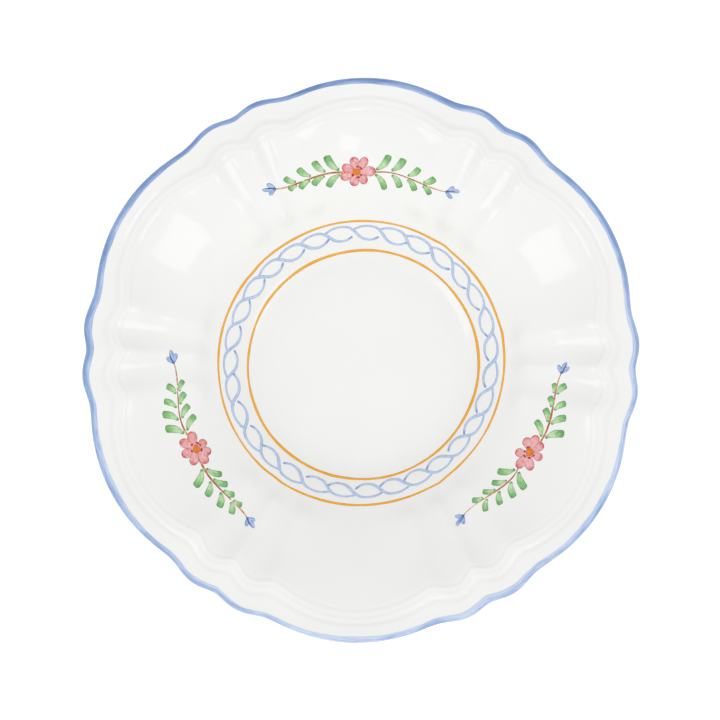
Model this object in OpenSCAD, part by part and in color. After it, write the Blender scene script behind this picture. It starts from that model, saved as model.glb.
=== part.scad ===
// Hand-painted six-lobed porcelain serving bowl.
// The origin is the centre of the foot's resting plane, +Z is up, in millimetres.
// A formed body stands on a luted foot ring. Every painted colour is a thin
// raised enamel that lies on the body: rim band, ring lines, rope and sprays.

/* [Bowl] */
// Radius from the centre to the crest of a lobe
crest_r = 165; // [155:1:175]
// Overall height from the resting plane to the top of the rim
height = 64; // [58:1:72]
// Thickness of the wall, which is also the diameter of the rounded lip
wall_t = 4.8; // [4:0.2:5.6]
// Radius of the flat well
well_r = 58; // [57:0.5:59]
// Height of the well's upper face over the resting plane
well_z = 12; // [11:0.5:14]
// Angle by which the rim still rises where it meets the lip
rim_tilt = 15; // [12:1:20]

/* [Lobes] */
// Direction of the first junction between two lobes
junction_a = -2; // [-10:1:10]
// How far a lobe alone would fall back at its junction
cusp_depth = 15; // [12:0.5:18]
// Angle from a junction to the small shoulder on either side of it
shoulder_a = 5.2; // [4:0.2:6]
// How far the tip of a shoulder stays behind a crest
shoulder_drop = 2.8; // [2:0.1:4]
// How sharply a shoulder falls away, per degree squared
shoulder_fall = 0.18; // [0.1:0.01:0.2]
// Share of the lobes' setback that the flutes keep on their way down the wall
flute_share = 0.38; // [0.2:0.02:0.5]
// Radius at which the flutes in the wall begin
flute_r = 87; // [86:1:92]
// How far the wall rises per unit that a flute stands in from the crest circle
flute_lift = 0.3; // [0:0.05:0.35]

/* [Foot] */
// Mean radius of the foot ring
foot_r = 52; // [48:0.5:52]
// Width of the foot's flat resting face
foot_face_w = 5; // [4:0.5:7]
// Width of the foot where it meets the body
foot_top_w = 9; // [8:0.5:10]

/* [Paint] */
// Thickness of the raised enamel
enamel_t = 0.18; // [0.12:0.02:0.3]
// How far the rim band reaches inward from the lip
band_in = 3.2; // [2:0.2:4]
// How far the rim band reaches down the outside
band_out = 2.4; // [1:0.2:4]
// Radius of the outer ring line
outer_line_r = 85; // [84.6:0.1:86]
// Width of the outer ring line
outer_line_w = 1.2; // [0.8:0.1:1.4]
// Radius of the inner ring line
inner_line_r = 69; // [66:0.1:70]
// Width of the inner ring line
inner_line_w = 1.4; // [0.8:0.1:2]
// Mean radius of the rope
rope_r = 77.9; // [77:0.1:78.5]
// Half the width of the rope
rope_half = 4.1; // [3.5:0.1:4.2]
// Number of strokes in the rope
rope_strokes = 31; // [24:1:34]
// How far all three sprays are moved outward from their usual place
spray_out = 0; // [-2:0.5:2]

/* [Hidden] */

lobes = 6;
half_a = 180 / lobes;
lip_r = wall_t / 2;
foot_z = well_z - wall_t;
lip_c = [crest_r - lip_r, height - lip_r];
rim_in_r = lip_c[0] - lip_r * sin(rim_tilt);
rim_in_z = lip_c[1] + lip_r * cos(rim_tilt);

// The wall's meridian runs through knots of radius, height and slope: a turn up
// from the well, a straight lower wall, and a wall that flares out to the rim zone.
run = rim_in_r - well_r;
rise = rim_in_z - well_z;
knots = [[well_r, well_z, 0],
         [well_r + 0.14 * run, well_z + 0.1 * rise, 1.44 * rise / run],
         [well_r + 0.375 * run, well_z + 0.436 * rise, 1.4 * rise / run],
         [well_r + 0.575 * run, well_z + 0.69 * rise, 1.12 * rise / run],
         [well_r + 0.72 * run, well_z + 0.828 * rise, 0.78 * rise / run],
         [well_r + 0.85 * run, well_z + 0.924 * rise, 0.71 * rise / run],
         [well_r + 0.894 * run, well_z + 0.947 * rise, 0.32 * rise / run],
         [rim_in_r, rim_in_z, tan(rim_tilt)]];

// Three fine grooves follow the rim inside the edge: distance in and depth.
grooves = [[10.8, 0.55], [14.9, 0.35], [19, 0.25]];
groove_w = 1.1;

// Distances in from the crest at which the modelled wall has a ring of points.
inner_steps = [6.5, 9, 10.8, 12.8, 14.9, 17, 19, 22, 28, 35, 43, 51, 59, 65, 71, 78, 92, 97, 102];
outer_steps = [7, 13, 19, 27, 36, 46, 58, 74, 92, 100];
lip_steps = 6;

// Angles of the wall's points within one lobe, closest near the junction.
fan = [-25.5, -21, -17, -13.5, -11, -9, -7, -5.2, -3.4, -1.6, 0,
       1.6, 3.4, 5.2, 7, 9, 11, 13.5, 17, 21, 25.5, 30];
around = [for (k = [0 : lobes - 1]) for (a = fan)
          junction_a + 2 * half_a * k + a * half_a / 30];

blue = [0.47, 0.60, 0.84];
pale_blue = [0.68, 0.77, 0.94];
ochre = [0.93, 0.63, 0.16];
leaf_green = [0.47, 0.72, 0.47];
rose = [0.88, 0.52, 0.56];
orange = [0.86, 0.48, 0.12];
stem_brown = [0.72, 0.42, 0.30];
porcelain = [0.96, 0.96, 0.95];

function ease(t) = let (u = min(1, max(0, t))) u * u * (3 - 2 * u);
function polar(r, a, z) = [r * cos(a), r * sin(a), z];

// Angle from the nearest junction, from 0 to half a lobe.
function fold(a) =
    let (b = (a - junction_a) / (2 * half_a))
    abs(b - floor(b + 0.5)) * 2 * half_a;

// Setback of the outline behind the crest circle. The lobe and the two
// shoulders are blended by a soft maximum, which is sharper where s is small.
function setback(p, s) =
    let (lobe = -cusp_depth * pow(1 - p / half_a, 2),
         near = -shoulder_drop - shoulder_fall * pow(p - shoulder_a, 2),
         far = -shoulder_drop - shoulder_fall * pow(p + shoulder_a, 2))
    s * ln(exp(lobe / s) + exp(near / s) + exp(far / s));

// Radial shift of the wall at meridian radius q and direction a.
function shift(q, a) =
    let (p = min(half_a, fold(a)),
         d = max(0, rim_in_r - q),
         grow = 1 + 0.75 * ease(d / 14),
         fade = ease((q - flute_r) / 16),
         deep = ease((d - 8) / 34),
         s = 4 - 1.8 * ease(d / 12))
    grow * fade * (1 - deep * (1 - flute_share)) * setback(p, s);
function lift(q, a) = -flute_lift * ease((rim_in_r - q) / 14) * shift(q, a);

function hermite(t, z0, m0, z1, m1) =
    (2 * pow(t, 3) - 3 * t * t + 1) * z0 + (pow(t, 3) - 2 * t * t + t) * m0
    + (3 * t * t - 2 * pow(t, 3)) * z1 + (pow(t, 3) - t * t) * m1;
function span_z(q, k) =
    let (a = knots[k], b = knots[k + 1], w = b[0] - a[0])
    hermite((q - a[0]) / w, a[1], a[2] * w, b[1], b[2] * w);
function wall_z(q, k = 6) = q <= well_r ? well_z
    : k == 0 || q >= knots[k][0] ? span_z(q, k)
    : wall_z(q, k - 1);
function wall_a(q) = q <= well_r ? 0
    : atan((wall_z(q) - wall_z(q - 0.1)) / 0.1);
function groove_z(q, k = 0) = k == len(grooves) ? 0
    : groove_z(q, k + 1)
      - grooves[k][1] * exp(-pow((crest_r - q - grooves[k][0]) / groove_w, 2));

function inner_point(q, a) =
    polar(q + shift(q, a), a, wall_z(q) + groove_z(q) + lift(q, a));
function outer_point(q, a) =
    polar(q + wall_t * sin(wall_a(q)) + shift(q, a), a,
          wall_z(q) - wall_t * cos(wall_a(q)) + lift(q, a));
function lip_point(f, a, extra = 0) =
    polar(lip_c[0] + (lip_r + extra) * cos(f) + shift(crest_r, a), a,
          lip_c[1] + (lip_r + extra) * sin(f));

// Height of the inner surface over a plan position, found by repeating
// the radial shift until the meridian radius settles.
function settle(r, a, q, n) = n == 0 ? q : settle(r, a, r - shift(q, a), n - 1);
function surface_z(x, y) =
    let (r = norm([x, y]), a = atan2(y, x), q = settle(r, a, r, 6))
    wall_z(q) + lift(q, a);

// ---- mesh helpers -------------------------------------------------------

// Triangles between successive closed rings of n points each.
function ring_faces(rings, n) =
    [for (i = [0 : rings - 2]) for (j = [0 : n - 1])
        let (k = (j + 1) % n, a = i * n + j, b = i * n + k,
             c = (i + 1) * n + k, d = (i + 1) * n + j)
        each [[a, b, c], [a, c, d]]];

// One closed shell of four-point stations, with both ends capped.
function ribbon_faces(n, at) =
    concat([for (i = [0 : n - 2]) for (k = [0 : 3])
        let (a = at + 4 * i, m = (k + 1) % 4)
        each [[a + k, a + m, a + 4 + m], [a + k, a + 4 + m, a + 4 + k]]],
        [[at, at + 2, at + 1], [at, at + 3, at + 2]],
        let (z = at + 4 * (n - 1))
        [[z, z + 1, z + 2], [z, z + 2, z + 3]]);

// A brush stroke: stations are [x, y, half width], lifted onto the surface.
function stroke_points(line) =
    let (n = len(line))
    [for (i = [0 : n - 1])
        let (p = line[i], a = line[max(0, i - 1)], b = line[min(n - 1, i + 1)],
             t = [b[0] - a[0], b[1] - a[1]], u = t / norm(t),
             l = [-u[1], u[0]] * p[2], m = l * 0.7)
        each [lifted(p[0] + l[0], p[1] + l[1], 0),
              lifted(p[0] + m[0], p[1] + m[1], enamel_t),
              lifted(p[0] - m[0], p[1] - m[1], enamel_t),
              lifted(p[0] - l[0], p[1] - l[1], 0)]];
function lifted(x, y, h) = [x, y, surface_z(x, y) + h];

// Strokes that share one node. Every stroke has the same number of stations.
module strokes(lines) {
    n = len(lines[0]);
    polyhedron([for (line = lines) each stroke_points(line)],
               [for (i = [0 : len(lines) - 1]) each ribbon_faces(n, 4 * n * i)]);
}

// Closed plates on the surface, each between an inner and an outer outline.
module plates(pairs) {
    n = len(pairs[0][0]);
    polyhedron(
        [for (pair = pairs) each concat(
            [for (p = pair[0]) lifted(p[0], p[1], 0)],
            [for (p = pair[0]) lifted(p[0], p[1], enamel_t)],
            [for (p = pair[1]) lifted(p[0], p[1], enamel_t)],
            [for (p = pair[1]) lifted(p[0], p[1], 0)])],
        [for (i = [0 : len(pairs) - 1]) for (s = [0 : 3]) for (j = [0 : n - 1])
            let (o = 4 * n * i, k = (j + 1) % n, e = (s + 1) % 4,
                 a = o + s * n + j, b = o + s * n + k,
                 c = o + e * n + k, d = o + e * n + j)
            each [[a, b, c], [a, c, d]]]);
}

// A ring of enamel on the lower wall, where the flutes haven't begun yet.
module line_ring(r, w) {
    rotate_extrude($fn = 96)
        polygon([[r - w / 2, wall_z(r - w / 2)], [r + w / 2, wall_z(r + w / 2)],
                 [r + w / 4, wall_z(r + w / 4) + enamel_t],
                 [r - w / 4, wall_z(r - w / 4) + enamel_t]]);
}

// ---- the formed body and its foot ----------------------------------------

module bowl_body() {
    inner = concat([well_r], [for (i = [len(inner_steps) - 1 : -1 : 0])
                              crest_r - inner_steps[i]], [rim_in_r]);
    outer = concat([rim_in_r], [for (s = outer_steps) crest_r - s], [well_r]);
    turn = 180 / lip_steps;
    n = len(around);
    rings = concat(
        [for (q = inner) [for (a = around) inner_point(q, a)]],
        [for (i = [1 : lip_steps - 1])
            [for (a = around) lip_point(90 + rim_tilt - turn * i, a)]],
        [for (q = outer) [for (a = around) outer_point(q, a)]]);
    last = len(rings) * n;
    caps = [for (j = [0 : n - 1]) let (k = (j + 1) % n)
            each [[last, k, j], [last + 1, last - n + j, last - n + k]]];
    color(porcelain)
        polyhedron(concat([for (r = rings) each r],
                          [[0, 0, well_z], [0, 0, foot_z]]),
                   concat(ring_faces(len(rings), n), caps));
}

module foot_ring() {
    color(porcelain)
        rotate_extrude($fn = 120)
            polygon([[foot_r - foot_top_w / 2, foot_z],
                     [foot_r - foot_face_w / 2 - 0.5, 0.8],
                     [foot_r - foot_face_w / 2, 0],
                     [foot_r + foot_face_w / 2, 0],
                     [foot_r + foot_face_w / 2 + 0.5, 0.8],
                     [foot_r + foot_top_w / 2, foot_z]]);
}

// ---- painted bands on the rim and the lower wall -------------------------------

// The blue enamel wraps the lip: it starts on the inner face, goes round
// the edge, comes down the outside, and its back follows the body's skin.
module rim_band() {
    turn = 180 / lip_steps;
    start = rim_in_r - band_in + lip_r;
    stop = rim_in_r - band_out;
    over = [for (i = [0 : lip_steps]) 90 + rim_tilt - turn * i];
    up = [0, 0, enamel_t];
    skin = concat(
        [[for (a = around) inner_point(start, a)]],
        [for (f = over) [for (a = around) lip_point(f, a)]],
        [[for (a = around) outer_point(stop, a)]]);
    face = concat(
        [[for (a = around) outer_point(stop, a) + polar(enamel_t * sin(wall_a(stop)), a,
                                                        -enamel_t)]],
        [for (i = [lip_steps : -1 : 0])
            [for (a = around) lip_point(over[i], a, enamel_t)]],
        [[for (a = around) inner_point(start, a) + up]]);
    n = len(around);
    rings = concat(face, skin, [face[0]]);
    total = n * (len(rings) - 1);
    color(blue)
        polyhedron([for (i = [0 : len(rings) - 2]) each rings[i]],
                   [for (f = ring_faces(len(rings), n))
                    [f[2] % total, f[1] % total, f[0] % total]]);
}

module outer_ring_line() {
    color(ochre) line_ring(outer_line_r, outer_line_w);
}

module inner_ring_line() {
    color(ochre) line_ring(inner_line_r, inner_line_w);
}

// Every stroke of the rope is one S. It crosses the middle of the rope at u = 0,
// after a short hook on the inside and before a longer arc on the outside.
rope_stations = 12;
function rope_offset(u) =
    let (x = abs(u),
         inner = 1 - 0.5 * pow(max(0, x - 0.5) / 0.42, 2),
         outer = 1 - 0.5 * pow(max(0, x - 0.6) / 0.55, 2),
         e = exp(-2 * x / 0.24))
    sign(u) * (1 - e) / (1 + e) * (u < 0 ? inner : outer);
function rope_line(k) =
    [for (i = [0 : rope_stations])
        let (u = -0.88 + 1.86 * i / rope_stations,
             r = rope_r + rope_half * 0.86 * rope_offset(u),
             a = (k + u) * 360 / rope_strokes,
             w = 0.5 + 0.28 * exp(-pow(u / 0.3, 2)))
        [r * cos(a), r * sin(a), w]];

module rope_band() {
    color(pale_blue) strokes([for (k = [0 : rope_strokes - 1]) rope_line(k)]);
}

// ---- flower sprays in every second lobe ----------------------------------

// Each spray is drawn about its own direction: x runs clockwise along the lobe and
// y away from the bowl's centre. A row gives the spray's direction, the flower's
// place, and then for the left and the right side the height of the stem at the
// flower, its fall toward the bud, and the first leaf and the gap between leaves.
sprays = [[90, [-2.3, 111.4], [111, 111.3], [10.4, 12.1], [12.5, 8.8], [8.5, 9.2]],
          [208, [-0.4, 110], [111.4, 110.9], [9.2, 13.2], [13, 11], [8.2, 7.7]],
          [331, [-0.5, 113.2], [115.7, 111.9], [9.3, 15.2], [12.4, 11.7], [8.6, 7.9]]];
stem_end = 50.5;
stem_start = 8.5;
stem_stations = 12;
leaf_pairs = 4;
petal_count = 7;

function spray_xy(k, x, y) =
    let (a = sprays[k][0], r = y + spray_out)
    [r * cos(a) + x * sin(a), r * sin(a) - x * cos(a)];
function half_of(side) = side < 0 ? 0 : 1;
function stem_y(k, side, d) =
    let (s = half_of(side))
    sprays[k][2][s] - sprays[k][3][s] * ease((d - 13) / 41);

function stem_line(k, side) =
    [for (i = [0 : stem_stations])
        let (d = stem_start + (stem_end - stem_start) * i / stem_stations,
             p = spray_xy(k, side * d, stem_y(k, side, d)))
        [p[0], p[1], 0.5 - 0.2 * i / stem_stations]];

// From a leaf's foot to its head. The outer leaves are alike on both sides, and the
// inner ones stand more steeply on the right. Leaf i = 0 is next to the flower.
function leaf_reach(side, over, i) =
    over > 0 ? [6.6 - 0.15 * i, 7.1 - 1.65 * i]
    : side < 0 ? [6.4 - 0.7 * i, -6.2 + 1.25 * i]
    : [4.8 - 0.3 * i, -7.5 + 1.1 * i];
leaf_stations = 6;
function leaf_line(k, side, over, i) =
    let (s = half_of(side),
         d = sprays[k][4][s] + sprays[k][5][s] * i,
         reach = leaf_reach(side, over, i) * 1.1,
         bow = 0.12 * over * [reach[1], -reach[0]],
         widest = (over > 0 ? 2.3 : 2) - 0.13 * i)
    [for (j = [0 : leaf_stations])
        let (t = j / leaf_stations,
             at = reach * t + bow * 4 * t * (1 - t),
             p = spray_xy(k, side * (d + at[0]), stem_y(k, side, d) + 1.3 * over + at[1]))
        [p[0], p[1], widest * (0.4 + 0.6 * ease(t / 0.6)) * (t == 1 ? 0.75 : 1)]];

function rosette(k, x, y, n, inner, outer, start, points) =
    [for (j = [0 : points - 1])
        let (a = 360 * j / points,
             r = inner + (outer - inner) * pow(abs(cos(n * (a - start) / 2)), 0.7))
        spray_xy(k, x - r * sin(a), y + 0.85 * r * cos(a))];
function disc(k, x, y, r, points) = rosette(k, x, y, 1, r, r, 0, points);

// A bud opens in three small petals that carry on the way the stem points.
function bud_outline(k, side, points) =
    let (y = stem_y(k, side, stem_end), base = side * (stem_end + 1.6),
         fall = atan(stem_y(k, side, stem_end) - stem_y(k, side, stem_end - 1)))
    [for (j = [0 : points - 1])
        let (a = 360 * j / points,
             ahead = side < 0 ? 90 - fall : 270 + fall,
             off = (a - ahead + 540) % 360 - 180,
             tips = [for (c = [-36, 0, 36]) exp(-pow((off - c) / 13, 2))],
             r = 1.2 + 4.6 * max(tips))
        spray_xy(k, base - r * sin(a), y + r * cos(a))];

module spray_stem(k) {
    color(stem_brown) strokes([for (side = [-1, 1]) stem_line(k, side)]);
}

module spray_leaves(k) {
    color(leaf_green)
        strokes([for (side = [-1, 1]) for (i = [0 : leaf_pairs - 1]) for (over = [-1, 1])
                 leaf_line(k, side, over, i)]);
}

module spray_petals(k) {
    at = sprays[k][1];
    color(rose)
        plates([[disc(k, at[0], at[1], 2.6, 56),
                 rosette(k, at[0], at[1], petal_count, 4.6, 9.6, 12, 56)]]);
}

module spray_centre(k) {
    at = sprays[k][1];
    color(orange)
        plates([[disc(k, at[0], at[1], 0.4, 28), disc(k, at[0], at[1], 2.5, 28)]]);
}

module spray_buds(k) {
    color(blue)
        plates([for (side = [-1, 1])
                [disc(k, side * (stem_end + 1.6), stem_y(k, side, stem_end), 0.25, 36),
                 bud_outline(k, side, 36)]]);
}

bowl_body();
foot_ring();
rim_band();
outer_ring_line();
inner_ring_line();
rope_band();
spray_stem(0);  // spray_1_stem
spray_leaves(0);  // spray_1_leaves
spray_petals(0);  // spray_1_petals
spray_centre(0);  // spray_1_centre
spray_buds(0);  // spray_1_buds
spray_stem(1);  // spray_2_stem
spray_leaves(1);  // spray_2_leaves
spray_petals(1);  // spray_2_petals
spray_centre(1);  // spray_2_centre
spray_buds(1);  // spray_2_buds
spray_stem(2);  // spray_3_stem
spray_leaves(2);  // spray_3_leaves
spray_petals(2);  // spray_3_petals
spray_centre(2);  // spray_3_centre
spray_buds(2);  // spray_3_buds
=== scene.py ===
"""Looks of a hand-painted six-lobed serving bowl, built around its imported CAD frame.

The shape functions work in millimetres and degrees, in the frame's own axes, and
make_piece() turns their points into metres. Angles run anticlockwise from +X.
"""
import math

import bpy
import numpy as np
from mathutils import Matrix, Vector


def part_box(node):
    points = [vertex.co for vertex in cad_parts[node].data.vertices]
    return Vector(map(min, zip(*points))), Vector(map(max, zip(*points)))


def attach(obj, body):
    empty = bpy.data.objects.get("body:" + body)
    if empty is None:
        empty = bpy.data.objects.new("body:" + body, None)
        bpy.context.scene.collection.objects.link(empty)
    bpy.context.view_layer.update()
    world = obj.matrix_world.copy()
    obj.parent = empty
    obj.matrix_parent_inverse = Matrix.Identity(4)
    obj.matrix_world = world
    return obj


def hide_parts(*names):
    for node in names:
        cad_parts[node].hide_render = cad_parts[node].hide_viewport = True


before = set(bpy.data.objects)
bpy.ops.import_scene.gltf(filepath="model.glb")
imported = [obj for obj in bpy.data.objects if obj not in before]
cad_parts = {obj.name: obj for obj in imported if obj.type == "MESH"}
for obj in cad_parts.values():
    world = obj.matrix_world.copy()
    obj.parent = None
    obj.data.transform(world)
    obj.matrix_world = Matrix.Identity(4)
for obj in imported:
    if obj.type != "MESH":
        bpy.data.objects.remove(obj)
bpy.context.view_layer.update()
rng = np.random.default_rng(6)

MM = 0.001
SINK = 0.05  # how far the underside of a painted piece lies in the glaze


def node_box(name):
    """Lowest and highest corner of a CAD node, in millimetres."""
    low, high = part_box(name)
    return np.array(low) / MM, np.array(high) / MM


# ---- sizes, read from the frame ---------------------------------------------

LOBES = 6
HALF_A = 180 / LOBES
JUNCTION_A = -2.0
CUSP_DEPTH = 15.0
SHOULDER_A = 5.2
SHOULDER_DROP = 2.8
SHOULDER_FALL = 0.18
FLUTE_SHARE = 0.38
FLUTE_LIFT = 0.3

FOOT_TOP_W = 9.0
FOOT_FACE_W = 5.0
OUTER_LINE_W = 1.2
INNER_LINE_W = 1.4
WELL_PAST_FOOT = 6.0
FLUTE_PAST_LINE = 1.4

body_low, body_high = node_box("bowl_body")
foot_high = node_box("foot_ring")[1]
outer_line_high = node_box("outer_ring_line")[1]
inner_line_high = node_box("inner_ring_line")[1]

crest_r = (body_high[1] - body_low[1]) / 2 / math.cos(math.radians(JUNCTION_A))
height = body_high[2]
foot_z = foot_high[2]
wall_t = 4.8
well_z = foot_z + wall_t
lip_r = wall_t / 2
outer_line_r = outer_line_high[0] - OUTER_LINE_W / 2
inner_line_r = inner_line_high[0] - INNER_LINE_W / 2
foot_r = foot_high[0] - FOOT_TOP_W / 2
well_r = foot_r + WELL_PAST_FOOT
flute_r = outer_line_high[0] + FLUTE_PAST_LINE

RIM_TILT = math.radians(15)
lip_c = np.array([crest_r - lip_r, height - lip_r])
rim_in_r = lip_c[0] - lip_r * math.sin(RIM_TILT)
rim_in_z = lip_c[1] + lip_r * math.cos(RIM_TILT)
run = rim_in_r - well_r
rise = rim_in_z - well_z

# The wall's meridian runs through knots of radius, height and slope.
KNOTS = [(well_r, well_z, 0.0),
         (well_r + 0.14 * run, well_z + 0.1 * rise, 1.44 * rise / run),
         (well_r + 0.375 * run, well_z + 0.436 * rise, 1.4 * rise / run),
         (well_r + 0.575 * run, well_z + 0.69 * rise, 1.12 * rise / run),
         (well_r + 0.72 * run, well_z + 0.828 * rise, 0.78 * rise / run),
         (well_r + 0.85 * run, well_z + 0.924 * rise, 0.71 * rise / run),
         (well_r + 0.894 * run, well_z + 0.947 * rise, 0.32 * rise / run),
         (rim_in_r, rim_in_z, math.tan(RIM_TILT))]

# The fine grooves inside the rim: distance in from the crest, depth and width.
GROOVES = [(10.8, 0.55, 1.2), (14.9, 0.35, 1.2), (19.0, 0.25, 1.2)]


# ---- the bowl's surface --------------------------------------------------------

def ease(t):
    """A smooth step from 0 to 1 as t runs from 0 to 1."""
    u = np.clip(t, 0.0, 1.0)
    return u * u * (3 - 2 * u)


def fold(a):
    """Angle from the nearest junction between two lobes."""
    turns = (a - JUNCTION_A) / (2 * HALF_A)
    return np.abs(turns - np.floor(turns + 0.5)) * 2 * HALF_A


def setback(p, s):
    """How far the outline lies behind the crest circle: one lobe and two shoulders, blended."""
    lobe = -CUSP_DEPTH * (1 - p / HALF_A) ** 2
    near = -SHOULDER_DROP - SHOULDER_FALL * (p - SHOULDER_A) ** 2
    far = -SHOULDER_DROP - SHOULDER_FALL * (p + SHOULDER_A) ** 2
    return s * np.log(np.exp(lobe / s) + np.exp(near / s) + np.exp(far / s))


def shift(q, a):
    """Radial shift of the wall at meridian radius q and direction a. The setback grows
    just inside the rim, lessens down the wall and fades out at flute_r."""
    p = fold(a)
    d = np.maximum(0, rim_in_r - q)
    grow = 1 + 0.75 * ease(d / 14)
    fade = ease((q - flute_r) / 16)
    deep = ease((d - 8) / 34)
    s = 4 - 1.8 * ease(d / 12)
    return grow * fade * (1 - deep * (1 - FLUTE_SHARE)) * setback(p, s)


def lift(q, a):
    """How far the wall rises where a flute stands in from the crest circle."""
    return -FLUTE_LIFT * ease((rim_in_r - q) / 14) * shift(q, a)


def wall_z(q):
    """Height of the smooth inner wall at meridian radius q."""
    z = np.full(np.shape(q), well_z)
    for (q0, z0, m0), (q1, z1, m1) in zip(KNOTS, KNOTS[1:]):
        w = q1 - q0
        t = (q - q0) / w
        curve = ((2 * t**3 - 3 * t**2 + 1) * z0 + (t**3 - 2 * t**2 + t) * m0 * w
                 + (3 * t**2 - 2 * t**3) * z1 + (t**3 - t**2) * m1 * w)
        z = np.where(q > q0, curve, z)
    return z


def wall_tilt(q):
    """Angle of the meridian at q, in radians."""
    return np.arctan((wall_z(q) - wall_z(q - 0.1)) / 0.1)


def groove(q):
    """Depth of the rim grooves at meridian radius q."""
    return sum(depth * np.exp(-((crest_r - q - d) / w) ** 2) for d, depth, w in GROOVES)


def polar(r, a, z):
    """Points at radius r, direction a and height z."""
    t = np.radians(a)
    return np.stack([r * np.cos(t), r * np.sin(t), z + 0 * t], axis=-1)


def inner_points(q, a, above=0.0):
    """Points on the inner wall, or above it along its normal."""
    tilt = wall_tilt(q)
    return polar(q + shift(q, a) - above * np.sin(tilt), a,
                 wall_z(q) - groove(q) + lift(q, a) + above * np.cos(tilt))


def outer_points(q, a, above=0.0):
    """Points on the outer wall, or beyond it along its normal."""
    tilt = wall_tilt(q)
    t = wall_t + above
    return polar(q + t * np.sin(tilt) + shift(q, a), a,
                 wall_z(q) - t * np.cos(tilt) + lift(q, a))


def lip_points(turn, a, above=0.0):
    """The rounded lip; turn runs from 0 on the inner face to pi on the outer one."""
    f = math.pi / 2 + RIM_TILT - turn
    r = lip_r + above
    return polar(lip_c[0] + r * np.cos(f) + shift(crest_r, a), a, lip_c[1] + r * np.sin(f))


def surface_z(x, y):
    """Height of the inner surface over a plan position."""
    r = np.hypot(x, y)
    a = np.degrees(np.arctan2(y, x))
    q = r
    for _ in range(8):
        q = r - shift(q, a)
    return wall_z(q) + lift(q, a)


# ---- mesh helpers ------------------------------------------------------------------

def grid_faces(rows, cols, closed):
    """Quads between successive rows of points; closed joins the last column to the first."""
    i, j = np.meshgrid(np.arange(rows - 1), np.arange(cols if closed else cols - 1), indexing="ij")
    k = (j + 1) % cols
    quads = np.stack([i * cols + j, (i + 1) * cols + j, (i + 1) * cols + k, i * cols + k], axis=-1)
    return quads.reshape(-1, 4)


def make_piece(name, points, faces, material, replaced=(), marks=None):
    """A smooth mesh object that rides on the bowl, with its paint marks as attributes."""
    mesh = bpy.data.meshes.new(name)
    mesh.from_pydata((np.asarray(points) * MM).tolist(), [], [list(map(int, f)) for f in faces])
    mesh.polygons.foreach_set("use_smooth", [True] * len(mesh.polygons))
    for key, values in (marks or {}).items():
        layer = mesh.attributes.new(key, "FLOAT_VECTOR", "POINT")
        layer.data.foreach_set("vector", np.asarray(values, np.float32).ravel())
    mesh.materials.append(material)
    mesh.update()
    piece = bpy.data.objects.new(name, mesh)
    bpy.context.scene.collection.objects.link(piece)
    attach(piece, "root")
    if replaced:
        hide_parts(*replaced)
    return piece


def brush_stroke(line, widths, above, dome, cross=7):
    """One closed stroke on the inner surface along a plan line: points, faces and marks.

    The mark attribute holds the place along the stroke, the place across it and a seed;
    the grain attribute holds the same two places in millimetres."""
    line = np.asarray(line, float)
    along = np.gradient(line, axis=0)
    along /= np.linalg.norm(along, axis=1)[:, None]
    side = np.stack([-along[:, 1], along[:, 0]], axis=1)
    steps = np.linalg.norm(np.diff(line, axis=0), axis=1)
    length = np.concatenate([[0], np.cumsum(steps)])
    v = np.append(np.linspace(1, -1, cross), 0.0)
    top = np.append(1 - np.linspace(1, -1, cross) ** 2, 0.0)
    x = line[:, 0, None] + side[:, 0, None] * widths[:, None] * v
    y = line[:, 1, None] + side[:, 1, None] * widths[:, None] * v
    h = above + dome * top
    h[-1] = -SINK
    z = surface_z(x, y) + h
    points = np.stack([x, y, z], axis=-1).reshape(-1, 3)
    n, c = len(line), cross + 1
    faces = [list(f[::-1]) for f in grid_faces(n, c, True)]
    faces.append(list(range(c)))
    faces.append(list(range((n - 1) * c, n * c))[::-1])
    t = np.repeat(length / length[-1], c)
    seed = np.full(n * c, rng.uniform(0, 10))
    mark = np.stack([t, np.tile(v, n), seed], axis=1)
    grain = np.stack([np.repeat(length, c), (widths[:, None] * v).ravel(), seed], axis=1)
    return points, faces, mark, grain


def make_painted(name, strokes, material, replaced=()):
    """One piece made of several brush strokes."""
    faces, at = [], 0
    for points, own, _, _ in strokes:
        faces += [[i + at for i in f] for f in own]
        at += len(points)
    points, _, mark, grain = zip(*strokes)
    marks = {"mark": np.concatenate(mark), "grain": np.concatenate(grain)}
    return make_piece(name, np.concatenate(points), faces, material, replaced, marks)


def stations(n):
    """Places along a stroke from 0 to 1, closest at its two rounded ends."""
    return (1 - np.cos(np.linspace(0, math.pi, n))) / 2


def drop_widths(t, widest, at, tail):
    """Half widths of a comma-shaped stroke: a thin tail that swells to a round head."""
    body = tail + (1 - tail) * ease(t / at)
    head = np.sqrt(np.clip(1 - ((t - at) / (1 - at)) ** 2, 0, 1))
    start = np.sqrt(np.clip(t / 0.06, 0.02, 1))
    return widest * np.where(t < at, body * start, np.maximum(head, 0.02))


def blunt_widths(t, widest, tail):
    """Half widths of a flat-brush stroke: it opens quickly and ends square."""
    body = tail + (1 - tail) * ease(t / 0.6)
    head = np.clip(1 - np.clip((t - 0.82) / 0.18, 0, 1) ** 4, 0.0, 1) ** 0.5
    start = np.sqrt(np.clip(t / 0.05, 0.03, 1))
    return widest * np.maximum(body * start * head, 0.03)


def bend(start, end, t, bow):
    """A plan line from start to end that bows out to its left by a share of its length."""
    start, end = np.asarray(start, float), np.asarray(end, float)
    d = end - start
    left = np.array([-d[1], d[0]])
    return start + t[:, None] * d + (bow * 4 * t * (1 - t))[:, None] * left


# ---- materials -------------------------------------------------------------------------

SHEEN = 0.035


def linear(r, g, b):
    """A display colour of 0 to 255 as the linear colour that a shader takes."""
    c = np.array([r, g, b]) / 255
    c = np.where(c <= 0.04045, c / 12.92, ((c + 0.055) / 1.055) ** 2.4)
    return (*c.tolist(), 1.0)


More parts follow.
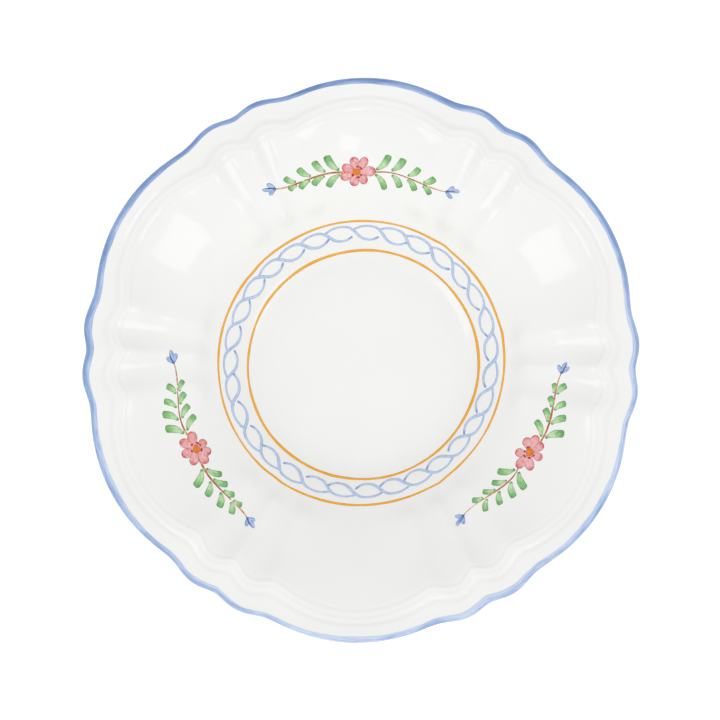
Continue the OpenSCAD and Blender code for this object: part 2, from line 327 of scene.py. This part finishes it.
def paint(r, g, b):
    """The colour that a glossy paint needs, so that it and the white sheen on it
    together read as the given display colour."""
    return tuple(max(0.0, (c - SHEEN) / (1 - SHEEN)) for c in linear(r, g, b)[:3]) + (1.0,)


def new_material(name):
    """An empty node material and its tree."""
    material = bpy.data.materials.new(name)
    material.use_nodes = True
    material.node_tree.nodes.clear()
    return material, material.node_tree


def add(tree, kind, inputs=None, **settings):
    """A shader node, with its settings and with its inputs linked or set."""
    made = tree.nodes.new("ShaderNode" + kind)
    for key, value in settings.items():
        setattr(made, key, value)
    for key, value in (inputs or {}).items():
        if isinstance(value, bpy.types.NodeSocket):
            tree.links.new(value, made.inputs[key])
        else:
            made.inputs[key].default_value = value
    return made


def calc(tree, operation, *values):
    """The result of a Math node."""
    inputs = dict(enumerate(values))
    return add(tree, "Math", inputs, operation=operation).outputs[0]


def noise(tree, vector, scale, detail=3.0, roughness=0.55):
    """The value of a noise texture."""
    made = add(tree, "TexNoise", {"Vector": vector, "Scale": scale, "Detail": detail,
                                  "Roughness": roughness})
    return made.outputs[0]


def ramp(tree, factor, stops):
    """A colour ramp through (position, colour) stops."""
    made = add(tree, "ValToRGB", {"Fac": factor})
    elements = made.color_ramp.elements
    while len(elements) < len(stops):
        elements.new(0.5)
    for element, (position, colour) in zip(elements, stops):
        element.position = position
        element.color = colour
    return made.outputs["Color"]


def spread(tree, value, low, high, to_low, to_high):
    """A value carried from the range low to high into the range to_low to to_high."""
    made = add(tree, "MapRange", {"Value": value, "From Min": low, "From Max": high,
                                  "To Min": to_low, "To Max": to_high})
    return made.outputs["Result"]


def glaze(tree, colour, roughness, coat, normal=None):
    """The glossy glazed surface that every part of the bowl shares."""
    shader = add(tree, "BsdfPrincipled", {"Base Color": colour, "Roughness": roughness,
                                          "IOR": 1.45, "Coat Weight": coat,
                                          "Coat Roughness": 0.03, "Coat IOR": 1.5})
    if normal is not None:
        tree.links.new(normal, shader.inputs["Normal"])
    add(tree, "OutputMaterial", {"Surface": shader.outputs[0]})


def glaze_ripple(tree, strength):
    """The slight orange-peel and slow unevenness of a fired glaze, as a bump."""
    place = add(tree, "TexCoord").outputs["Object"]
    fine = noise(tree, place, 420.0, 2.0)
    slow = noise(tree, place, 45.0, 1.0)
    mixed = calc(tree, "MULTIPLY_ADD", slow, 3.0, fine)
    bump = add(tree, "Bump", {"Height": mixed, "Strength": strength, "Distance": 0.0002})
    return bump.outputs["Normal"]


def porcelain_material():
    """White glaze: faintly mottled, with painted shade that makes it a shade greyer in a groove
    and toward the rim."""
    material, tree = new_material("porcelain_glaze")
    place = add(tree, "TexCoord").outputs["Object"]
    mottle = noise(tree, place, 28.0, 4.0)
    white = ramp(tree, mottle, [(0.3, (0.885, 0.888, 0.868, 1)), (0.7, (0.902, 0.903, 0.884, 1))])
    # painted shade from make_body: greyer in each groove and toward the rim
    painted_shade = add(tree, "Attribute", attribute_name="painted_shade").outputs["Vector"]
    depth = add(tree, "SeparateXYZ", {"Vector": painted_shade}).outputs["X"]
    grey = add(tree, "Mix", {"Factor": depth, "A": white, "B": (0.83, 0.835, 0.825, 1)},
               data_type="RGBA")
    roughness = spread(tree, noise(tree, place, 60.0, 2.0), 0.3, 0.7, 0.10, 0.17)
    glaze(tree, grey.outputs[2], roughness, 0.8, glaze_ripple(tree, 0.08))
    return material


def foot_material():
    """Glazed sides over a bare, ground resting face."""
    material, tree = new_material("foot_clay")
    place = add(tree, "TexCoord").outputs["Object"]
    z = add(tree, "SeparateXYZ", {"Vector": place}).outputs["Z"]
    edge = calc(tree, "MULTIPLY_ADD", noise(tree, place, 90.0, 3.0), 0.0006, z)
    glazed = spread(tree, edge, 0.0009, 0.0012, 0.0, 1.0)
    grit = noise(tree, place, 1500.0, 3.0)
    clay = ramp(tree, grit, [(0.35, (0.66, 0.62, 0.55, 1)), (0.65, (0.80, 0.77, 0.71, 1))])
    colour = add(tree, "Mix", {"Factor": glazed, "A": clay, "B": (0.89, 0.895, 0.885, 1)},
                 data_type="RGBA")
    roughness = spread(tree, glazed, 0.0, 1.0, 0.75, 0.14)
    bump = add(tree, "Bump", {"Height": grit, "Strength": 0.15, "Distance": 0.0002})
    shader = add(tree, "BsdfPrincipled", {"Base Color": colour.outputs[2],
                                          "Roughness": roughness, "IOR": 1.5,
                                          "Normal": bump.outputs["Normal"]})
    add(tree, "OutputMaterial", {"Surface": shader.outputs[0]})
    return material


def paint_material(name, pale, middle, deep, base=0.5, edge=0.25, head=0.2, tail=0.2,
                   streak=0.5, blot=0.4, head_from=0.6, tail_to=0.3):
    """A brushed enamel: thin in the middle of a stroke, and denser where the brush
    lands, leaves or drags its edge, with streaks along the stroke."""
    material, tree = new_material(name)
    mark = add(tree, "Attribute", attribute_name="mark").outputs["Vector"]
    grain = add(tree, "Attribute", attribute_name="grain").outputs["Vector"]
    places = add(tree, "SeparateXYZ", {"Vector": mark})
    t, v = places.outputs["X"], places.outputs["Y"]
    drag = add(tree, "Mapping", {"Vector": grain, "Scale": (0.22, 1.7, 3.0)}).outputs[0]
    cloud = add(tree, "Mapping", {"Vector": grain, "Scale": (0.5, 0.6, 5.0)}).outputs[0]
    parts = [
        (calc(tree, "POWER", calc(tree, "ABSOLUTE", v), 3.0), edge),
        (spread(tree, t, head_from, 1.0, 0.0, 1.0), head),
        (spread(tree, t, tail_to / 3, tail_to, 1.0, 0.0), tail),
        (calc(tree, "SUBTRACT", noise(tree, drag, 1.0, 3.0), 0.5), streak * 2),
        (calc(tree, "SUBTRACT", noise(tree, cloud, 1.0, 2.0), 0.5), blot * 2),
    ]
    density = base
    for value, weight in parts:
        density = calc(tree, "MULTIPLY_ADD", value, weight, density)
    colour = ramp(tree, density, [(0.1, pale), (0.5, middle), (0.95, deep)])
    glaze(tree, colour, 0.14, 0.0, glaze_ripple(tree, 0.06))
    return material


def rim_material():
    """Blue brushed round the lip, streaked along the rim and thin at its inner edge."""
    material, tree = new_material("rim_enamel")
    mark = add(tree, "Attribute", attribute_name="mark").outputs["Vector"]
    grain = add(tree, "Attribute", attribute_name="grain").outputs["Vector"]
    across = add(tree, "SeparateXYZ", {"Vector": mark}).outputs["X"]
    streaks = noise(tree, grain, 1.0, 4.0, 0.65)
    patches = noise(tree, add(tree, "TexCoord").outputs["Object"], 35.0, 3.0)
    density = calc(tree, "MULTIPLY_ADD", calc(tree, "SUBTRACT", streaks, 0.5), 1.1, 0.395)
    density = calc(tree, "MULTIPLY_ADD", calc(tree, "SUBTRACT", patches, 0.5), 0.7, density)
    inner = spread(tree, across, -0.9, 1.6, -0.35, 0.0)
    density = calc(tree, "ADD", density, inner)
    outer = spread(tree, across, 4.5, 8.0, 0.0, 0.3)
    density = calc(tree, "ADD", density, outer)
    # painted shade and sheen: denser blue on the +Y side away from the lights, paler on the lit -Y
    # side
    rim_shading = add(tree, "SeparateXYZ", {"Vector": mark}).outputs["Y"]
    density = calc(tree, "MULTIPLY_ADD", rim_shading, 0.2, density)
    colour = ramp(tree, density, [(0.0, paint(202, 216, 238)), (0.35, paint(150, 174, 215)),
                                  (0.65, paint(119, 146, 195)), (1.0, paint(86, 114, 168))])
    glaze(tree, colour, 0.14, 0.0, glaze_ripple(tree, 0.06))
    return material


def floor_material():
    """A pale matt studio sweep."""
    material, tree = new_material("floor_paper")
    place = add(tree, "TexCoord").outputs["Object"]
    tone = ramp(tree, noise(tree, place, 3.0, 2.0), [(0.3, (0.93, 0.93, 0.93, 1)),
                                                     (0.7, (0.95, 0.95, 0.95, 1))])
    shader = add(tree, "BsdfPrincipled", {"Base Color": tone, "Roughness": 0.9,
                                          "Specular IOR Level": 0.1,
                                          "Emission Color": (1, 1, 1, 1),
                                          "Emission Strength": 0.22})
    add(tree, "OutputMaterial", {"Surface": shader.outputs[0]})
    return material


# ---- the formed bowl ---------------------------------------------------------------------

AROUND = 480
RIM_ZONE_W = 24.0
# where the painted shade toward the rim begins, and the run in millimetres over which it grows to
# full
RIM_SHADE_FROM = 98.0
RIM_SHADE_OVER = 40.0


def make_body():
    """The porcelain shell: well, fluted wall, grooved rim, rounded lip and outside."""
    a = np.arange(AROUND) * 360 / AROUND
    well = np.linspace(0, well_r, 10)[1:]
    toe = np.linspace(well_r, KNOTS[1][0], 12)[1:]
    wall = np.linspace(KNOTS[1][0], crest_r - RIM_ZONE_W, 38)[1:]
    rim = np.linspace(crest_r - RIM_ZONE_W, rim_in_r, 46)[1:]
    inside = np.concatenate([well, toe, wall, rim])
    turns = np.linspace(0, math.pi, 15)[1:-1]
    outside = np.concatenate([np.linspace(rim_in_r, KNOTS[1][0], 38),
                              np.linspace(KNOTS[1][0], well_r, 12)[1:],
                              np.linspace(well_r, 0, 6)[1:-1]])
    rows = ([inner_points(q, a) for q in inside] + [lip_points(f, a) for f in turns]
            + [outer_points(q, a) for q in outside])
    points = np.concatenate(rows + [[[0, 0, well_z], [0, 0, foot_z]]])
    faces = [list(f) for f in grid_faces(len(rows), AROUND, True)]
    top, last = len(rows) * AROUND, (len(rows) - 1) * AROUND
    for j in range(AROUND):
        k = (j + 1) % AROUND
        faces.append([top, j, k])
        faces.append([top + 1, last + k, last + j])
    # painted shade: the white is darkened toward the rim, and in each groove by its depth
    thin = 0.45 * ease((inside - RIM_SHADE_FROM) / RIM_SHADE_OVER)
    depth = np.concatenate([np.clip(groove(inside) / 0.7, 0, 1) * 0.5 + thin,
                            np.zeros(len(turns) + len(outside))])
    painted_shade = np.zeros((len(points), 3))
    painted_shade[:len(rows) * AROUND, 0] = np.repeat(depth, AROUND)
    return make_piece("bowl_shell", points, faces, porcelain_material(),
                      ["bowl_body"], {"painted_shade": painted_shade})


def make_foot():
    """The turned foot ring, with softened edges round its flat resting face."""
    face, top = FOOT_FACE_W / 2, FOOT_TOP_W / 2
    flank = [(-top - 0.5, foot_z), (-top + 0.4, foot_z - 1.2), (-face - 0.9, 2.2),
             (-face - 0.45, 0.7), (-face - 0.1, 0.12), (-face + 0.35, 0.0)]
    profile = flank + [(-x, z) for x, z in flank[::-1]]
    a = np.arange(240) * 1.5
    rows = [polar(np.full(a.shape, foot_r + x), a, z) for x, z in profile]
    faces = [list(f[::-1]) for f in grid_faces(len(rows) + 1, len(a), True) % (len(rows) * len(a))]
    return make_piece("foot", np.concatenate(rows), faces, foot_material(), ["foot_ring"])


RIM_SHADE_A = 105  # direction in which the blue is painted darkest: painted shade on the side away from the lights
RIM_INSIDE = -0.75
RIM_OUTSIDE = 2.2


def make_rim_band():
    """Blue enamel that starts just inside the lip, wraps it and ends below it outside."""
    a = np.arange(AROUND * 2) * 180 / AROUND
    t = np.radians(a)
    wobble = (0.45 * np.sin(3 * t + 1.54) + 0.25 * np.sin(12 * t - 0.89)
              + 0.20 * np.sin(11 * t - 2.75) + 0.25 * np.sin(2 * t - 1.75)
              + 0.20 * np.sin(5 * t - 2.29) + 0.10 * np.sin(41 * t + 0.6)
              + 0.06 * np.sin(83 * t))
    above = 0.05
    arc = lip_r * math.pi
    inner = np.linspace(0, 1, 5)[:-1]
    lip = np.linspace(0, math.pi, 15)
    outer = np.linspace(0, 1, 5)[1:]
    start = RIM_INSIDE + wobble
    stop = RIM_OUTSIDE + 1.5 * wobble
    rows, places = [], []
    rows.append(inner_points(rim_in_r + start, a, -SINK))
    places.append(start)
    for u in inner:
        s = start * (1 - u)
        rows.append(inner_points(rim_in_r + s, a, above))
        places.append(s)
    for f in lip:
        rows.append(lip_points(f, a, above))
        places.append(np.full(a.shape, f * lip_r))
    for u in outer:
        rows.append(outer_points(rim_in_r - stop * u, a, above))
        places.append(arc + stop * u)
    rows.append(outer_points(rim_in_r - stop, a, -SINK))
    places.append(arc + stop)
    across = np.concatenate(places)
    # painted shade and sheen: the blue is made denser toward +Y, away from the lights, and paler
    # on the lit -Y side
    rim_shading = np.tile(np.cos(t - math.radians(RIM_SHADE_A)), len(rows))
    mark = np.stack([across, rim_shading, 0 * across], axis=1)
    ring = np.tile(np.stack([np.cos(t), np.sin(t)], axis=1) * 14, (len(rows), 1))
    grain = np.column_stack([ring, across * 1.3])
    faces = grid_faces(len(rows) + 1, len(a), True) % (len(rows) * len(a))
    return make_piece("rim_enamel", np.concatenate(rows), faces, rim_material(),
                      ["rim_band"], {"mark": mark, "grain": grain})


# ---- lines and rope on the lower wall -------------------------------------------------------

OVAL_A = 32
# Where the brush was set down again: direction, and share of the kink's height.
KINKS = [(303, 0.6), (55, 0.7), (232, -0.5), (12, 0.4), (140, -0.4)]


def oval(a, swell):
    """The painter's rings are slightly oval, longest in the direction OVAL_A."""
    return swell * np.cos(np.radians(2 * (a - OVAL_A)))


def make_ring_line(name, radius, width, swell, centre, phase, joint, material):
    """A brush line drawn round the bowl by hand: a little oval, uneven and off centre,
    with kinks as high as joint at KINKS."""
    a = np.arange(1080) / 3
    t = np.radians(a)
    r = radius + oval(a, swell) + 0.12 * np.sin(5 * t + phase) + 0.07 * np.sin(11 * t + 2 * phase)
    r += joint * sum(share * np.exp(-((a - at) / 3) ** 2) for at, share in KINKS)
    w = width / 2 * (1 + 0.12 * np.sin(3 * t + phase) + 0.08 * np.sin(13 * t)
                     + 0.05 * np.sin(37 * t + phase))
    v = np.linspace(-1, 1, 6)
    above = np.append(0.02 + 0.05 * (1 - v ** 2), -SINK)
    v = np.append(v, 0.0)
    rows = []
    for place, h in zip(v, above):
        ring = polar(r + w * place, a, 0)
        ring[:, :2] += centre
        ring[:, 2] = surface_z(ring[:, 0], ring[:, 1]) + h
        rows.append(ring)
    across = np.repeat(v, len(a))
    along = np.tile(0.5 + 0 * a, len(v))
    mark = np.stack([along, across, 0 * across], axis=1)
    grain = np.column_stack([np.tile(np.stack([np.cos(t), np.sin(t)], axis=1) * 22, (len(v), 1)),
                             across])
    faces = grid_faces(len(rows) + 1, len(a), True) % (len(rows) * len(a))
    return make_piece(name, np.concatenate(rows), faces, material, [name + "_line"],
                      {"mark": mark, "grain": grain})


ROPE_STROKES = 31
ROPE_START = 11.0
ROPE_HALF = 4.0
ROPE_REACH = 4.1  # from the middle of the CAD rope to its outer edge
rope_mid = node_box("rope_band")[1][0] - ROPE_REACH


def rope_offset(u):
    """How far one S lies from the middle of the rope, in half widths of the rope. The
    stroke crosses at u = 0, after a short hook inside and before a longer arc outside."""
    x = np.abs(u)
    inner = 1 - 0.6 * (np.maximum(0, x - 0.5) / 0.42) ** 2
    outer = 1 - 0.5 * (np.maximum(0, x - 0.6) / 0.55) ** 2
    return np.sign(u) * np.tanh(x / 0.24) * np.where(u < 0, inner, outer)


def make_rope(material):
    """Thirty-one S strokes that hook into one another, between the two ring lines."""
    strokes = []
    period = 360 / ROPE_STROKES
    for k in range(ROPE_STROKES):
        centre = ROPE_START + period * k + rng.uniform(-0.7, 0.7)
        start, stop = -rng.uniform(0.9, 1.0), rng.uniform(1.12, 1.2)
        t = stations(30)
        u = start + (stop - start) * t
        half = ROPE_HALF * rng.uniform(0.95, 1.05)
        a = centre + u * period
        r = rope_mid + oval(a, 0.8) + rng.uniform(-0.2, 0.2) + half * rope_offset(u)
        line = polar(r, a, 0)[:, :2]
        w = 0.58 + 0.28 * np.exp(-((u + 0.02) / 0.3) ** 2)
        w *= rng.uniform(0.92, 1.12) * np.sqrt(np.clip(np.minimum(t, 1 - t) / 0.012, 0.03, 1))
        strokes.append(brush_stroke(line, w, 0.02 + 0.004 * (k % 2), 0.04))
    return make_painted("rope", strokes, material, ["rope_band"])


# ---- flower sprays ---------------------------------------------------------------------------

# Every spray is drawn about its own direction: x runs clockwise along the lobe and y
# away from the bowl's centre. Each entry gives that direction, the place of the flower
# and the petals as (angle, length). The pairs are for the left and the right side: the
# height of the stem at the flower and its drop toward the bud, then the place of the
# first leaf and the gap between leaves.
SPRAYS = [
    {"turn": 90, "flower": (-2.3, 111.4), "level": (111.0, 111.3), "drop": (10.4, 12.1),
     "first": (12.5, 8.8), "gap": (8.5, 9.2),
     "petals": [(164, 9.3), (199, 10.3), (253, 8.2), (315, 8.4), (0, 11.2), (53, 9.8),
                (103, 8.6)]},
    {"turn": 208, "flower": (-0.4, 110.0), "level": (111.4, 110.9), "drop": (9.2, 13.2),
     "first": (13.0, 11.0), "gap": (8.2, 7.7),
     "petals": [(90, 9.2), (34, 10.6), (349, 10.6), (286, 7.2), (223, 8.8), (188, 10.8),
                (143, 10)]},
    {"turn": 331, "flower": (-0.5, 113.2), "level": (115.7, 111.9), "drop": (9.3, 15.2),
     "first": (12.4, 11.7), "gap": (8.6, 7.9),
     "petals": [(94, 8.0), (31, 10.5), (350, 11.6), (295, 8.2), (221, 9.2), (185, 11.2),
                (152, 9.6)]},
]
STEM_START = 6.0
STEM_END = 50.5
LEAVES_PER_SIDE = 4
TOUCH_ANGLES = (20, 300, 262, 75, 200)
# Dabs of the flower's eye: place from the flower's centre, length and half width.
CENTRE_DABS = [(-0.7, 0.6, 3.8, 1.4), (-0.5, -0.7, 4.1, 1.35), (0.8, 0.1, 2.8, 1.45)]
BUD_PETALS = [(37, 5.3), (0, 7.4), (-39, 5.3)]


def on_bowl(spray, xy):
    """Plan positions of points given in a spray's own axes."""
    t = math.radians(spray["turn"])
    out = np.array([math.cos(t), math.sin(t)])
    clockwise = np.array([math.sin(t), -math.cos(t)])
    xy = np.asarray(xy, float)
    return xy[..., :1] * clockwise + xy[..., 1:] * out


def half_of(side):
    """Which of a spray's paired values holds for the left (-1) or the right side (1)."""
    return 0 if side < 0 else 1


def stem_y(spray, side, d):
    """Height of the stem at the distance d to either side of the flower."""
    s = half_of(side)
    return spray["level"][s] - spray["drop"][s] * ease((np.asarray(d) - 13) / 41)


def make_stem(name, spray, material):
    """Two stem lines, the left one drawn with a fuller brush."""
    strokes = []
    for side in (-1, 1):
        t = stations(24)
        d = STEM_START + (STEM_END - STEM_START) * t
        line = on_bowl(spray, np.stack([side * d, stem_y(spray, side, d)], axis=1))
        thick, swell = (0.6, 0.14) if side < 0 else (0.44, 0.22)
        w = thick * (1 - 0.4 * t) * (1 + swell * np.sin(8 * t + spray["turn"]))
        ends = np.sqrt(np.clip((1 - t) / 0.01, 0.05, 1))
        strokes.append(brush_stroke(line, w * ends, 0.02, 0.04, 5))
    return make_painted(name, strokes, material, [name])


def leaf_reach(side, over, i):
    """From a leaf's foot to its head: outer leaves alike, inner ones steeper on the right."""
    if over > 0:
        return np.array([6.6 - 0.15 * i, 7.1 - 1.65 * i])
    if side < 0:
        return np.array([6.4 - 0.7 * i, -6.2 + 1.25 * i])
    return np.array([4.8 - 0.3 * i, -7.5 + 1.1 * i])


def make_leaves(name, spray, material):
    """Blunt leaf strokes over and under each stem, smaller toward the buds."""
    strokes = []
    for side in (-1, 1):
        s = half_of(side)
        for over in (1, -1):
            for i in range(LEAVES_PER_SIDE):
                d = spray["first"][s] + spray["gap"][s] * i + rng.uniform(-0.5, 0.5)
                reach = leaf_reach(side, over, i) * 1.12 + rng.uniform(-0.5, 0.5, 2)
                start = np.array([d, stem_y(spray, side, d) + 1.3 * over])
                t = stations(18)
                line = bend(start, start + reach, t, -0.12 * over) * [side, 1]
                widest = (2.22 if over > 0 else 1.95) - 0.13 * i + rng.uniform(-0.15, 0.15)
                w = blunt_widths(t, widest, 0.4)
                strokes.append(brush_stroke(on_bowl(spray, line), w, 0.03, 0.03, 9))
    return make_painted(name, strokes, material, [name])


def make_petals(name, spray, material):
    """Rose petals, each one stroke that swells away from the flower's eye."""
    strokes = []
    centre = np.array(spray["flower"])
    for i, (angle, length) in enumerate(spray["petals"]):
        way = np.array([math.cos(math.radians(angle)), math.sin(math.radians(angle))])
        t = stations(18)
        line = bend(centre + 1.2 * way, centre + length * way, t, rng.uniform(-0.05, 0.05))
        w = drop_widths(t, 2.7 + rng.uniform(-0.15, 0.2), 0.62, 0.45)
        strokes.append(brush_stroke(on_bowl(spray, line), w, 0.03 + 0.004 * i, 0.025, 9))
    return make_painted(name, strokes, material, [name])


def make_touches(name, spray, material):
    """Dark rose touches of the brush around the flower's centre."""
    strokes = []
    centre = np.array(spray["flower"])
    for angle in TOUCH_ANGLES:
        start = angle + rng.uniform(-12, 12)
        t = stations(10)
        sweep = np.radians(start + t * rng.uniform(25, 45))
        r = rng.uniform(2.7, 3.2)
        line = centre + np.stack([1.15 * r * np.cos(sweep), r * np.sin(sweep)], axis=1)
        w = drop_widths(t, rng.uniform(0.45, 0.75), 0.6, 0.4)
        strokes.append(brush_stroke(on_bowl(spray, line), w, 0.09, 0.04, 5))
    return make_painted(name, strokes, material)


def make_centre(name, spray, material):
    """Three short dabs of orange that merge into the flower's eye."""
    strokes = []
    centre = np.array(spray["flower"])
    for x, y, length, w in CENTRE_DABS:
        t = stations(12)
        start = centre + [x - length / 2, y]
        line = bend(start, start + [length, rng.uniform(-0.3, 0.3)], t, rng.uniform(-0.05, 0.05))
        widths = w * np.sqrt(np.clip(4 * t * (1 - t), 0.01, 1))
        strokes.append(brush_stroke(on_bowl(spray, line), widths, 0.11, 0.05))
    return make_painted(name, strokes, material, [name])


def make_buds(name, spray, material, vein_material):
    """A three-petal bud at each end of the stem, with a dark vein from the stem."""
    petals, veins = [], []
    for side in (-1, 1):
        foot = np.array([STEM_END, stem_y(spray, side, STEM_END)])
        fall = foot[1] - stem_y(spray, side, STEM_END - 1)
        heading = math.degrees(math.atan(fall))
        for angle, length in BUD_PETALS:
            angle += heading + rng.uniform(-7, 7)
            way = np.array([math.cos(math.radians(angle)), math.sin(math.radians(angle))])
            t = stations(14)
            line = bend(foot - 0.4 * way, foot + (length + rng.uniform(-0.5, 0.5)) * way, t,
                        rng.uniform(-0.08, 0.08)) * [side, 1]
            w = drop_widths(t, 1.27 + rng.uniform(-0.1, 0.15), 0.6, 0.5)
            petals.append(brush_stroke(on_bowl(spray, line), w, 0.03 + 0.004 * len(petals), 0.05))
        t = stations(12)
        line = bend(foot - [1.2, 1.2 * fall], foot + [5.8, 5.8 * fall + 0.5], t, 0.05) * [side, 1]
        veins.append(brush_stroke(on_bowl(spray, line), 0.38 * np.sin(math.pi * (0.08 + 0.88 * t)),
                                  0.08, 0.03, 5))
    make_painted(name, petals, material, [name])
    make_painted(name.replace("buds", "bud_veins"), veins, vein_material)


# ---- studio -----------------------------------------------------------------------------------

CAMERA_DISTANCE = 1.6
CAMERA_ELEVATION = 88.2
FRAME_WIDTH = 0.4193
AIM = (-0.0005, -0.0004)
SENSOR = 36.0


def make_camera():
    """Looks almost straight down on the rim, from a little toward -Y."""
    target = Vector((*AIM, height * MM))
    tilt = math.radians(90 - CAMERA_ELEVATION)
    data = bpy.data.cameras.new("camera")
    data.sensor_width = SENSOR
    data.lens = SENSOR * CAMERA_DISTANCE / FRAME_WIDTH
    camera = bpy.data.objects.new("camera", data)
    camera.location = target + CAMERA_DISTANCE * Vector((0, -math.sin(tilt), math.cos(tilt)))
    camera.rotation_euler = (tilt, 0, 0)
    bpy.context.scene.collection.objects.link(camera)
    bpy.context.scene.camera = camera


FLOOR_HALF = 6.0
FLOOR_STEPS = 24
SOFTBOX_DISTANCE = 1.6
# Each softbox: azimuth, elevation, size in metres and brightness beside white.
SOFTBOXES = {"softbox_left": (208, 49, (0.62, 0.6), 0.95),
             "softbox_right": (328, 49, (0.62, 0.6), 0.95),
             "softbox_low": (281.5, 52, (0.24, 0.24), 0.9)}


def make_softbox(name, azimuth, elevation, size, strength):
    """A rectangular softbox that faces the bowl."""
    a, e = math.radians(azimuth), math.radians(elevation)
    back = Vector((math.cos(a) * math.cos(e), math.sin(a) * math.cos(e), math.sin(e)))
    data = bpy.data.lights.new(name, "AREA")
    data.shape = "RECTANGLE"
    data.size, data.size_y = size
    data.energy = strength * math.pi * size[0] * size[1]
    light = bpy.data.objects.new(name, data)
    light.location = back * SOFTBOX_DISTANCE
    light.rotation_mode = "QUATERNION"
    light.rotation_quaternion = back.to_track_quat("Z", "Y")
    bpy.context.scene.collection.objects.link(light)


def make_floor():
    """A wide level sheet under the bowl."""
    step = np.linspace(-FLOOR_HALF, FLOOR_HALF, FLOOR_STEPS + 1)
    x, y = np.meshgrid(step, step, indexing="ij")
    mesh = bpy.data.meshes.new("floor")
    points = np.stack([x, y, 0 * x], axis=-1).reshape(-1, 3)
    mesh.from_pydata(points.tolist(), [], grid_faces(len(step), len(step), False).tolist())
    mesh.materials.append(floor_material())
    floor = bpy.data.objects.new("floor", mesh)
    bpy.context.scene.collection.objects.link(floor)


ROOM_TONE = 0.975
SIDE_FALL = 0.13  # how far the room's tone changes from its middle to +Y or -Y


def make_world():
    """A white studio that is brighter on the -Y side, where the windows are."""
    world = bpy.data.worlds.new("studio")
    world.use_nodes = True
    tree = world.node_tree
    tree.nodes.clear()
    direction = add(tree, "SeparateXYZ", {"Vector": add(tree, "TexCoord").outputs["Generated"]})
    toward = spread(tree, direction.outputs["Y"], -1.0, 1.0, 1.0, 0.0)
    tone = calc(tree, "MULTIPLY_ADD", direction.outputs["Y"], -SIDE_FALL, ROOM_TONE)
    tint = ramp(tree, toward, [(0.0, (0.985, 0.99, 1.0, 1)), (1.0, (1.0, 0.997, 0.99, 1))])
    back = add(tree, "Background", {"Color": tint, "Strength": tone})
    add(tree, "OutputWorld", {"Surface": back.outputs[0]})
    bpy.context.scene.world = world


# ---- build everything ------------------------------------------------------------------------

make_camera()
make_world()
make_floor()
for name, settings in SOFTBOXES.items():
    make_softbox(name, *settings)

make_body()
make_foot()
make_rim_band()

ochre = paint_material("ochre_enamel", paint(252, 192, 66), paint(246, 174, 30),
                       paint(234, 150, 12), base=0.46, edge=0.05, head=0, tail=0,
                       streak=0.5, blot=0.5)
make_ring_line("outer_ring", outer_line_r, OUTER_LINE_W, 0.55, (0.2, -0.94), 0.4, 0.9, ochre)
make_ring_line("inner_ring", inner_line_r, INNER_LINE_W, 0.6, (1.4, -1.55), 1.9, 0.0, ochre)

rope_blue = paint_material("rope_enamel", paint(208, 222, 246), paint(183, 203, 235),
                           paint(144, 168, 218), base=0.42, edge=0.1, head=0.15, tail=0.6,
                           head_from=0.85, tail_to=0.1)
make_rope(rope_blue)

green = paint_material("leaf_enamel", paint(214, 232, 196), paint(147, 198, 134),
                       paint(88, 152, 90), base=0.3, edge=0.12, head=0.5, tail=0.6,
                       streak=0.35, blot=0.35, head_from=0.45, tail_to=0.16)
rose = paint_material("rose_enamel", paint(240, 196, 198), paint(227, 150, 151),
                      paint(190, 64, 70), base=0.3, edge=0.12, head=0.55, tail=0.1,
                      streak=0.35, blot=0.5, head_from=0.7)
dark_rose = paint_material("dark_rose_enamel", paint(215, 100, 112), paint(196, 64, 84),
                           paint(165, 36, 60), base=0.6)
orange = paint_material("orange_enamel", paint(236, 160, 40), paint(224, 130, 22),
                        paint(190, 90, 18), base=0.4, edge=0.2)
brown = paint_material("stem_enamel", paint(232, 184, 148), paint(200, 126, 70),
                       paint(160, 82, 32), base=0.62, edge=0.0, head=-0.45, tail=-0.2,
                       streak=0.5, blot=0.8)
bud_blue = paint_material("bud_enamel", paint(196, 214, 244), paint(140, 168, 216),
                          paint(90, 120, 180), base=0.35, edge=0.15, head=0.0, tail=0.6)
ink = paint_material("vein_enamel", paint(112, 132, 172), paint(84, 104, 148),
                     paint(60, 76, 118), base=0.5)
for number, spray in enumerate(SPRAYS, 1):
    prefix = f"spray_{number}_"
    make_stem(prefix + "stem", spray, brown)
    make_leaves(prefix + "leaves", spray, green)
    make_petals(prefix + "petals", spray, rose)
    make_touches(prefix + "touches", spray, dark_rose)
    make_centre(prefix + "centre", spray, orange)
    make_buds(prefix + "buds", spray, bud_blue, ink)

bpy.context.scene.view_settings.view_transform = "Standard"
